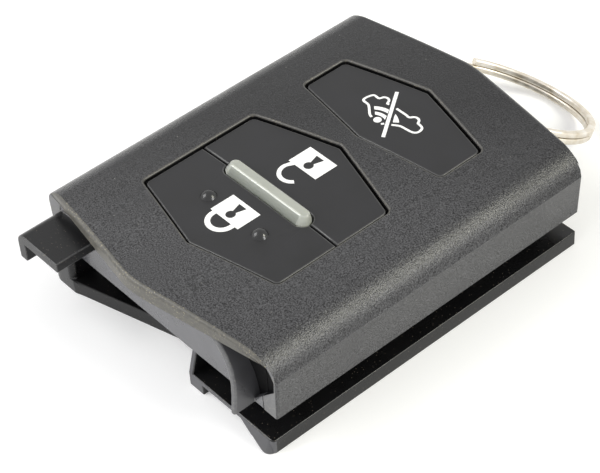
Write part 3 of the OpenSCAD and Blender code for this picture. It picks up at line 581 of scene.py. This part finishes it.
# key ring: flat wire wound twice, with a step where it crosses over
ringSet = dict(radius=9.66, wide=0.84, thick=0.72, halfPitch=0.385, turns=2, stepArc=40, endsAt=180,
               tilt=30.19, pivot=(0.9, 20.717, 10.617), stations=150, corner=0.2, cornerSteps=4)
profileData = bpy.data.curves.new("wireSection", "CURVE")
profileData.dimensions = "2D"
profilePoints = []
cornerX = ringSet["wide"] / 2 - ringSet["corner"]
cornerY = ringSet["thick"] / 2 - ringSet["corner"]
for k, (sideX, sideY) in enumerate(((1, 1), (-1, 1), (-1, -1), (1, -1))):
    for s in range(ringSet["cornerSteps"] + 1):
        angle = math.radians(90 * k + 90 * s / ringSet["cornerSteps"])
        profilePoints.append((sideX * cornerX + ringSet["corner"] * math.cos(angle),
                              sideY * cornerY + ringSet["corner"] * math.sin(angle)))
spline = profileData.splines.new("POLY")
spline.points.add(len(profilePoints) - 1)
for point, (x, y) in zip(spline.points, profilePoints):
    point.co = (x, y, 0, 1)
spline.use_cyclic_u = True
profile = bpy.data.objects.new("wireSection", profileData)
scene.collection.objects.link(profile)
wireData = bpy.data.curves.new("split_ring", "CURVE")
wireData.dimensions = "3D"
wireData.twist_mode = "Z_UP"
wireData.bevel_mode = "OBJECT"
wireData.bevel_object = profile
wireData.use_fill_caps = True
spline = wireData.splines.new("POLY")
spline.points.add(ringSet["stations"])
wound = 360 * ringSet["turns"]
for i, point in enumerate(spline.points):
    along = ringSet["stepArc"] / 2 + (wound - ringSet["stepArc"]) * i / ringSet["stations"]
    step = max(-0.5, min(0.5, (along - wound / 2) / ringSet["stepArc"]))
    lift = ringSet["halfPitch"] * math.sin(math.pi * step)
    angle = math.radians(along + ringSet["endsAt"])
    point.co = (ringSet["radius"] * math.cos(angle), ringSet["radius"] * math.sin(angle), lift, 1)
ring = bpy.data.objects.new("split_ring", wireData)
scene.collection.objects.link(ring)
useOnly(ring)
bpy.ops.object.convert(target="MESH")
ring = bpy.context.object
bpy.data.objects.remove(profile)
ring.data.transform(Matrix.Translation(Vector(ringSet["pivot"]))
                    @ Matrix.Rotation(math.radians(-ringSet["tilt"]), 4, "X")
                    @ Matrix.Translation((0, ringSet["radius"], 0)))
bpy.ops.object.mode_set(mode="EDIT")
bpy.ops.mesh.select_all(action="SELECT")
bpy.ops.mesh.remove_doubles(threshold=0.002)
bpy.ops.mesh.normals_make_consistent(inside=False)
bpy.ops.object.mode_set(mode="OBJECT")
ring.data.materials.append(ringSteel)
finishPiece(ring, "ring", ["key_ring"], smooth=50)
print("stage: ring wound,", len(ring.data.polygons), "faces")


# prints on the buttons: flat outlines laid on the crowned faces, cut into slices that can follow the crown
printSet = dict(slice=0.5, reach=6, recess=0.3, lift=0.015, film=0.05, crownTop=13.5, crownRadius=190)


def crownAt(x):
    # height of the lid's crown at this distance from the middle
    radius = printSet["crownRadius"]
    return printSet["crownTop"] - radius + math.sqrt(radius * radius - x * x)


def arcPoints(cx, cy, radius, start, end, steps=20):
    # part of a circle, in degrees
    turns = [math.radians(start + (end - start) * i / steps) for i in range(steps + 1)]
    return [(cx + radius * math.cos(t), cy + radius * math.sin(t)) for t in turns]


def smoothLine(points, steps=3):
    # a curve through the points
    ends = [points[0]] + list(points) + [points[-1]]
    line = []
    for a, b, c, d in zip(ends, ends[1:], ends[2:], ends[3:]):
        for i in range(steps):
            t = i / steps
            line.append(tuple(0.5 * (2 * q + (r - p) * t + (2 * p - 5 * q + 4 * r - s) * t * t
                                     + (3 * q - p - 3 * r + s) * t ** 3)
                              for p, q, r, s in zip(a, b, c, d)))
    return line + [points[-1]]


def ribbon(points, width):
    # the outline of a line of this width
    left, right = [], []
    for i, point in enumerate(points):
        before = Vector(points[max(i - 1, 0)])
        after = Vector(points[min(i + 1, len(points) - 1)])
        along = (after - before).normalized()
        side = Vector((-along.y, along.x)) * width / 2
        left.append(tuple(Vector(point) + side))
        right.append(tuple(Vector(point) - side))
    return [left + right[::-1]]


def layPrint(name, groups, body):
    # each group is filled on its own, so that its inner loops stay open
    parts = []
    for loops in groups:
        flat = bpy.data.curves.new(name, "CURVE")
        flat.dimensions = "2D"
        flat.fill_mode = "BOTH"
        for loop in loops:
            spline = flat.splines.new("POLY")
            spline.points.add(len(loop) - 1)
            for point, (x, y) in zip(spline.points, loop):
                point.co = (x, y, 0, 1)
            spline.use_cyclic_u = True
        part = bpy.data.objects.new(name, flat)
        scene.collection.objects.link(part)
        useOnly(part)
        bpy.ops.object.convert(target="MESH")
        parts.append(bpy.context.object)
    useOnly(parts[0])
    for part in parts:
        part.select_set(True)
    if len(parts) > 1:
        bpy.ops.object.join()
    piece = bpy.context.object
    piece.name = name
    bpy.ops.object.mode_set(mode="EDIT")
    x = -printSet["reach"]
    while x < printSet["reach"]:
        bpy.ops.mesh.select_all(action="SELECT")
        bpy.ops.mesh.bisect(plane_co=(x, 0, 0), plane_no=(1, 0, 0), threshold=0.0001)
        x += printSet["slice"]
    bpy.ops.mesh.select_all(action="SELECT")
    bpy.ops.mesh.remove_doubles(threshold=0.0005)
    bpy.ops.mesh.normals_make_consistent(inside=False)
    bpy.ops.object.mode_set(mode="OBJECT")
    if sum(face.normal.z for face in piece.data.polygons) < 0:
        piece.data.flip_normals()
    for vert in piece.data.vertices:
        vert.co.z = crownAt(vert.co.x) - printSet["recess"] + printSet["lift"]
    film = piece.modifiers.new("film", "SOLIDIFY")
    film.thickness = printSet["film"]
    film.offset = -1
    useOnly(piece)
    bpy.ops.object.modifier_apply(modifier="film")
    piece.data.materials.clear()
    piece.data.materials.append(ink)
    finishPiece(piece, body)


# padlocks: a block with a keyhole, whose top edge faces the hooks
padSet = dict(left=-2.4, tall=3.1, holeX=-0.25, holeDrop=0.94, hole=0.56, neck=0.48, wedge=1.2,
              wedgeDrop=1.68)


def padlock(top, wide):
    # the block's outline, and a round hole that opens into a wedge
    left, right, bottom = padSet["left"], padSet["left"] + wide, top + padSet["tall"]
    block = [(left, top), (right, top), (right, bottom), (left, bottom)]
    cx, cy = padSet["holeX"], top + padSet["holeDrop"]
    lean = math.degrees(math.asin(padSet["neck"] / 2 / padSet["hole"]))
    foot = cy + padSet["wedgeDrop"]
    wedge = [(cx - padSet["wedge"] / 2, foot), (cx + padSet["wedge"] / 2, foot)]
    return [block, arcPoints(cx, cy, padSet["hole"], 90 - lean, lean - 270) + wedge]


# closed bow: a half circle on two straight legs
lockSet = dict(top=-11.97, wide=4.4, bowX=-0.25, bowRise=0.27, outer=1.8, inner=1.19)
bowX, top, outer, inner = (lockSet[key] for key in ("bowX", "top", "outer", "inner"))
bowY = top - lockSet["bowRise"]
lockBow = ([(bowX - outer, top)] + arcPoints(bowX, bowY, outer, 180, 360) + [(bowX + outer, top)]
           + [(bowX + inner, top)] + arcPoints(bowX, bowY, inner, 360, 180) + [(bowX - inner, top)])
layPrint("lock_print", [padlock(top, lockSet["wide"]), [lockBow]], "lock_key")

# open bow: it leans on its left leg and stops in the air on the right
unlockSet = dict(top=-1.21, wide=4.3, bowX=-0.6, bowRise=1.0, outer=1.71, inner=1.21, footOut=-2.05,
                 footIn=-1.4, legOut=174, legIn=163, stop=325)
bowX, top = unlockSet["bowX"], unlockSet["top"]
bowY = top - unlockSet["bowRise"]
openBow = ([(unlockSet["footOut"], top)]
           + arcPoints(bowX, bowY, unlockSet["outer"], unlockSet["legOut"], unlockSet["stop"])
           + arcPoints(bowX, bowY, unlockSet["inner"], unlockSet["stop"], unlockSet["legIn"])
           + [(unlockSet["footIn"], top)])
layPrint("unlock_print", [padlock(top, unlockSet["wide"]), [openBow]], "unlock_key")

# crossed-out car: its line runs from sill over wheel, bumper and bonnet to the roof, and breaks at the slash
alarmSet = dict(line=0.28, slash=0.41, slashEnds=((-2.55, 14.7), (1.95, 8.45)),
                roofEnd=((0.2, 9.75), (0.4, 10.05)), dot=(-0.59, 9.97, 0.46), wheelSteps=5,
                rearWheel=(-2.5, 12.7, 0.55, 35, 175),  # centre, radius, and the angles that the line follows
                frontWheel=(2.28, 12.6, 0.61, 155, 20))
carRear = ([(-1.6, 12.65), (-1.85, 12.6)] + arcPoints(*alarmSet["rearWheel"], alarmSet["wheelSteps"])
           + [(-3.2, 12.55), (-3.75, 12.6), (-4.05, 12.5), (-4.2, 12.15), (-4.3, 11.6), (-4.2, 11.2)]
           + [(-3.85, 11.1), (-3.15, 11.0), (-2.3, 10.35), (-1.85, 10.0), (-1.4, 9.85)])
carFront = ([(-0.5, 12.7), (0.9, 12.7), (1.5, 12.65)]
            + arcPoints(*alarmSet["frontWheel"], alarmSet["wheelSteps"])
            + [(2.95, 12.65), (3.3, 12.6), (3.7, 12.5), (3.95, 12.2), (4.0, 11.75), (3.85, 11.4)]
            + [(3.5, 11.2), (2.85, 11.1), (2.0, 11.0), (1.6, 10.8), (1.1, 10.45)])

# waves: bands round one centre, with a radius and two angles for each side, cut slantwise at the slash
waveSet = dict(centre=(-0.58, 9.08), steps=12, innerFar=(2.03, 127, 83), innerNear=(1.56, 69, 123),
               outerFar=(2.94, 132, 97), outerNear=(2.4, 90, 130), endFar=(2.98, 77, 48),
               endNear=[(0.9, 10.85), (0.35, 11.55)])


def waveSide(name):
    # one side of a band
    return arcPoints(*waveSet["centre"], *waveSet[name], waveSet["steps"])


layPrint("alarm_print", [
    ribbon(smoothLine(carRear), alarmSet["line"]),
    ribbon(smoothLine(carFront), alarmSet["line"]),
    ribbon(alarmSet["roofEnd"], alarmSet["line"]),
    [waveSide("innerFar") + waveSide("innerNear")],
    [waveSide("outerFar") + waveSide("outerNear")],
    [waveSide("endFar") + waveSet["endNear"]],
    [arcPoints(*alarmSet["dot"], 0, 345, 23)],
    ribbon(alarmSet["slashEnds"], alarmSet["slash"]),
], "alarm_key")
print("stage: prints laid")

# pieces that keep their own solids get finished materials
keptFinish = dict(
    keypad_mat=silicone, circuit_board=boardMask, lock_switch=tinned, unlock_switch=tinned,
    alarm_switch=tinned, lock_plunger=acetal, unlock_plunger=acetal, alarm_plunger=acetal,
    status_led=lampResin, controller_chip=chipEpoxy, radio_chip=chipEpoxy, crystal=tinned,
    resonator=ceramicBody, capacitors=ceramicBody, resistors=chipEpoxy, inductors=ceramicBody,
    coin_cell=tinned, positive_contact=tinned, negative_contact=tinned, ring_pin=tinned,
)
for name, material in keptFinish.items():
    for slotSpot in nodes[name].material_slots:
        slotSpot.material = material
print("stage: inner pieces finished")

# floor, light and air
stageSet = dict(floorSize=3.0, floorColour="#f2f2f2", lift=0.22, air=0.45, aim=(0, 0, 0.01))
white = (1, 1, 1, 1)


def seenByEye(tree):
    # 1 for what the camera sees, mirrored or through glass too, and 0 for light on its way to the object
    path = addNode(tree, "ShaderNodeLightPath")
    mirrored = addNode(tree, "ShaderNodeMath", {"operation": "MAXIMUM"},
                       {0: path.outputs["Is Camera Ray"], 1: path.outputs["Is Glossy Ray"]})
    through = addNode(tree, "ShaderNodeMath", {"operation": "MAXIMUM"},
                      {0: mirrored.outputs[0], 1: path.outputs["Is Transmission Ray"]})
    return through.outputs[0]


bpy.ops.object.select_all(action="DESELECT")
bpy.ops.mesh.primitive_plane_add(size=stageSet["floorSize"], location=(0, 0, 0))
floor = bpy.context.object
floor.name = "floor"
# painted board: matt and nearly white, lifted to white for the eye alone, so that the shadow stays
floorPaint, tree = newMaterial("mattWhiteFloor")
liftLevel = addNode(tree, "ShaderNodeMath", {"operation": "MULTIPLY", 1: stageSet["lift"]},
                    {0: seenByEye(tree)})
matt = addNode(tree, "ShaderNodeBsdfDiffuse", {"Color": hexColour(stageSet["floorColour"])})
glow = addNode(tree, "ShaderNodeEmission", {"Color": white}, {"Strength": liftLevel.outputs[0]})
both = addNode(tree, "ShaderNodeAddShader", links={0: matt.outputs[0], 1: glow.outputs[0]})
addNode(tree, "ShaderNodeOutputMaterial", links={"Surface": both.outputs[0]})
floor.data.materials.append(floorPaint)

world = bpy.data.worlds.new("studioAir")
scene.world = world
world.use_nodes = True
tree = world.node_tree
tree.nodes.clear()
level = addNode(tree, "ShaderNodeMapRange", {"To Min": stageSet["air"], "To Max": 1.0},
                {"Value": seenByEye(tree)})
air = addNode(tree, "ShaderNodeBackground", {"Color": white}, {"Strength": level.outputs[0]})
addNode(tree, "ShaderNodeOutputWorld", links={"Surface": air.outputs[0]})

lampSet = dict(
    rightBox=dict(place=(0.42, 0.32, 0.44), size=0.2, power=1.9, colour=(1, 0.99, 0.84)),
    sideBox=dict(place=(0.48, 0.155, 0.29), size=0.16, power=0.85, colour=(1, 1, 1)),
    frontBox=dict(place=(-0.03, -0.42, 0.2), size=0.4, power=1.1, colour=(1, 1, 1), mirrored=False),
    leftBox=dict(place=(-0.26, -0.24, 0.32), size=0.25, power=1.1, colour=(1, 1, 1)),
)
for name, lamp in lampSet.items():
    light = bpy.data.lights.new(name, "AREA")
    light.size = lamp["size"]
    light.energy = lamp["power"]
    light.color = lamp["colour"]
    holder = bpy.data.objects.new(name, light)
    holder.location = lamp["place"]
    aim = Vector(stageSet["aim"]) - Vector(lamp["place"])
    holder.rotation_euler = aim.to_track_quat("-Z", "Y").to_euler()
    holder.visible_glossy = lamp.get("mirrored", True)  # the front lamp leaves no glare on the lid
    scene.collection.objects.link(holder)
scene.view_settings.view_transform = "Standard"
print("stage: floor and lights set")
